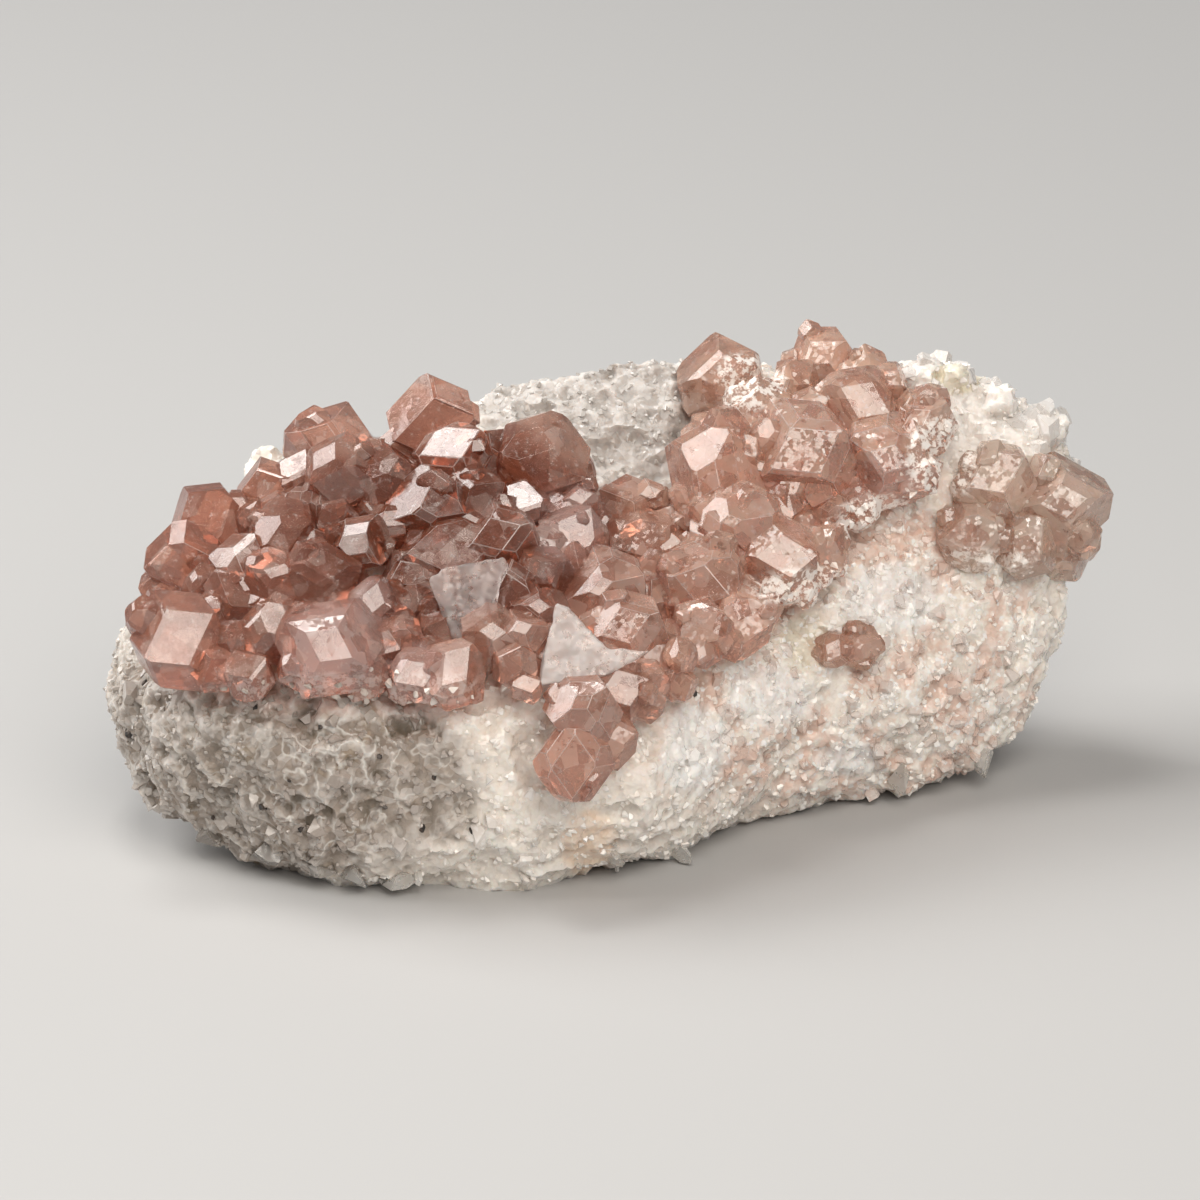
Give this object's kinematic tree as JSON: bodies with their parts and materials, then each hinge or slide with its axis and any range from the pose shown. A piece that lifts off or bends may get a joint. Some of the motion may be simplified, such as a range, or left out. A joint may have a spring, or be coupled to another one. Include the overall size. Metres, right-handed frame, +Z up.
{
  "type": "garnet crystal specimen",
  "caption": "Crust of intergrown pink grossular garnet crystals on a pale granular rock, with thin calcite plates; a small hand specimen that rests on its underside.",
  "frame": {"origin": "under the middle of the bounding box, on the surface that the stone rests on", "axes": "+Z up, +X along the stone towards the raised end, -Y towards the side that it is seen from"},
  "size_m": [0.0422, 0.0246, 0.0188],
  "materials": {
    "rock": "sugary, granular, pale grey to cream with pink grains and dark specks",
    "garnet": "glossy flat crystal faces, cloudy pink inside",
    "calcite": "milky, satin"
  },
  "bodies": {
    "root": {"matrix": "rock", "garnet_bed": "garnet", "garnet_back": "garnet", "garnet_east": "garnet", "garnet_face": "garnet", "calcite_plate": "calcite", "calcite_blade": "calcite"}
  },
  "joints": []
}
